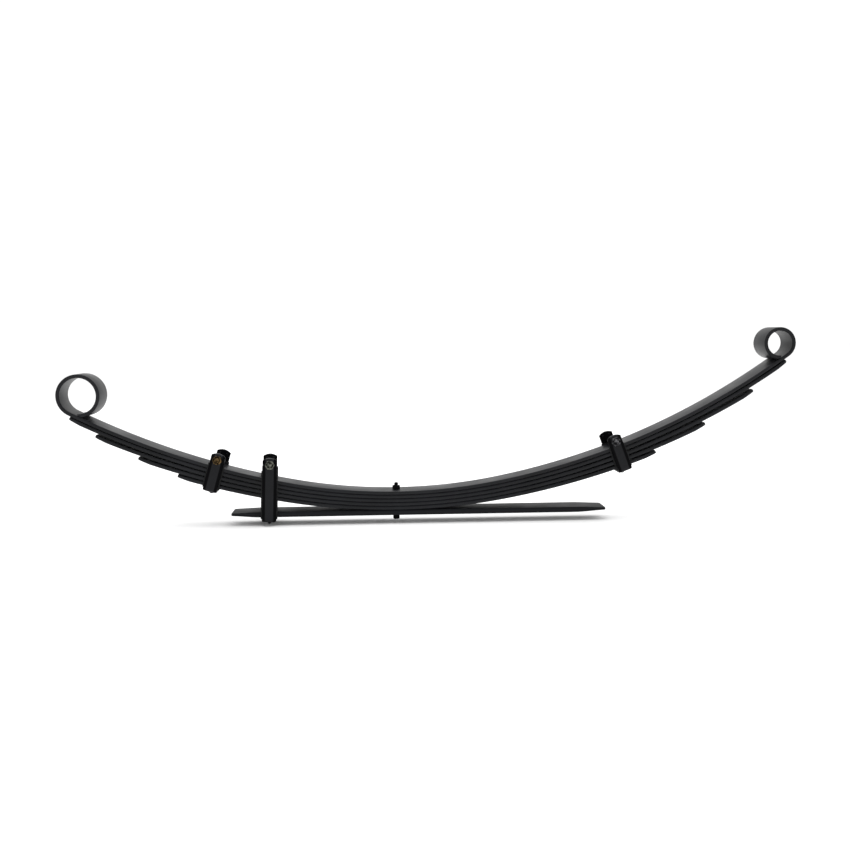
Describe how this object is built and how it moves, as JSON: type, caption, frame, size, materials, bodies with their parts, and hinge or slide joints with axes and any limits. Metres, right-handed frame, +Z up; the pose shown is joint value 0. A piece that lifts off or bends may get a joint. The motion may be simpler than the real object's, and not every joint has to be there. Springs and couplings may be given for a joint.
{
  "type": "leaf spring",
  "caption": "Semi-elliptic truck leaf spring: curved leaf pack with rolled eyes, flat helper leaf, centre bolt and bolted rebound clips.",
  "frame": {"origin": "centre of the flat lower end of the centre bolt's dowel head", "axes": "+X along the leaves to the rear (small) eye, +Y across the leaves, +Z up, out of the seat towards the eyes"},
  "size_m": [1.4329, 0.1019, 0.3756],
  "materials": {
    "leaf_paint": "black chassis paint over shot-blasted spring steel, satin",
    "helper_paint": "black chassis paint, satin to matt",
    "strap_paint": "black paint over bent mild steel strip",
    "liner": "matt black anti-rattle strip",
    "centre_bolt_paint": "steel bolt and nut, painted black with the pack",
    "clip_bolt_plating": "yellow zinc plate with a dark washer face",
    "rivet_steel": "hammered steel rivet, painted black",
    "sleeve_steel": "drawn steel tube, dark and dull"
  },
  "bodies": {
    "leaf_pack": {"main_leaf": "leaf_paint", "second_leaf": "leaf_paint", "third_leaf": "leaf_paint", "fourth_leaf": "leaf_paint", "fifth_leaf": "leaf_paint"},
    "axle_seat": {"centre_bolt": "centre_bolt_paint", "centre_nut": "centre_bolt_paint", "helper_leaf": "helper_paint", "helper_clip_strap": "strap_paint", "helper_clip_liner": "liner", "helper_clip_rivet": "rivet_steel", "helper_clip_bolt": "clip_bolt_plating", "helper_clip_nut": "clip_bolt_plating"},
    "front_clip": {"front_clip_strap": "strap_paint", "front_clip_liner": "liner", "front_clip_rivet": "rivet_steel", "front_clip_bolt": "clip_bolt_plating", "front_clip_nut": "clip_bolt_plating"},
    "rear_clip": {"rear_clip_strap": "strap_paint", "rear_clip_liner": "liner", "rear_clip_rivet": "rivet_steel", "rear_clip_bolt": "clip_bolt_plating", "rear_clip_nut": "clip_bolt_plating"},
    "front_sleeve": {"front_clip_sleeve": "sleeve_steel"},
    "helper_sleeve": {"helper_clip_sleeve": "sleeve_steel"},
    "rear_sleeve": {"rear_clip_sleeve": "sleeve_steel"}
  },
  "joints": [
    {"name": "seat_travel", "type": "slide", "parent": "leaf_pack", "child": "axle_seat", "axis": [0, 0, 1], "range_m": [0, 0.058], "stiffness_N_per_m": 22000, "springref_m": -0.0115, "deforming": ["main_leaf", "second_leaf", "third_leaf", "fourth_leaf", "fifth_leaf"]},
    {"name": "front_clip_swing", "type": "hinge", "parent": "leaf_pack", "child": "front_clip", "pos_m": [-0.4795, 0, 0.097], "axis": [0, -1, 0], "range_deg": [0, 8.35]},
    {"name": "rear_clip_swing", "type": "hinge", "parent": "leaf_pack", "child": "rear_clip", "pos_m": [0.6108, 0, 0.12], "axis": [0, 1, 0], "range_deg": [0, 6.65]},
    {"name": "front_sleeve_spin", "type": "hinge", "parent": "front_clip", "child": "front_sleeve", "pos_m": [-0.34262, 0, 0.12629], "axis": [0, 1, 0], "continuous": true},
    {"name": "helper_sleeve_spin", "type": "hinge", "parent": "axle_seat", "child": "helper_sleeve", "pos_m": [-0.24649, 0, 0.11604], "axis": [-0.0784, 0.9969, 0.0027], "continuous": true},
    {"name": "rear_sleeve_spin", "type": "hinge", "parent": "rear_clip", "child": "rear_sleeve", "pos_m": [0.42782, 0, 0.15172], "axis": [0, 1, 0], "continuous": true}
  ],
  "couplings": [
    {"joint": "front_clip_swing", "follows": "seat_travel", "rad_per_m": 2.503},
    {"joint": "rear_clip_swing", "follows": "seat_travel", "rad_per_m": 1.989}
  ]
}
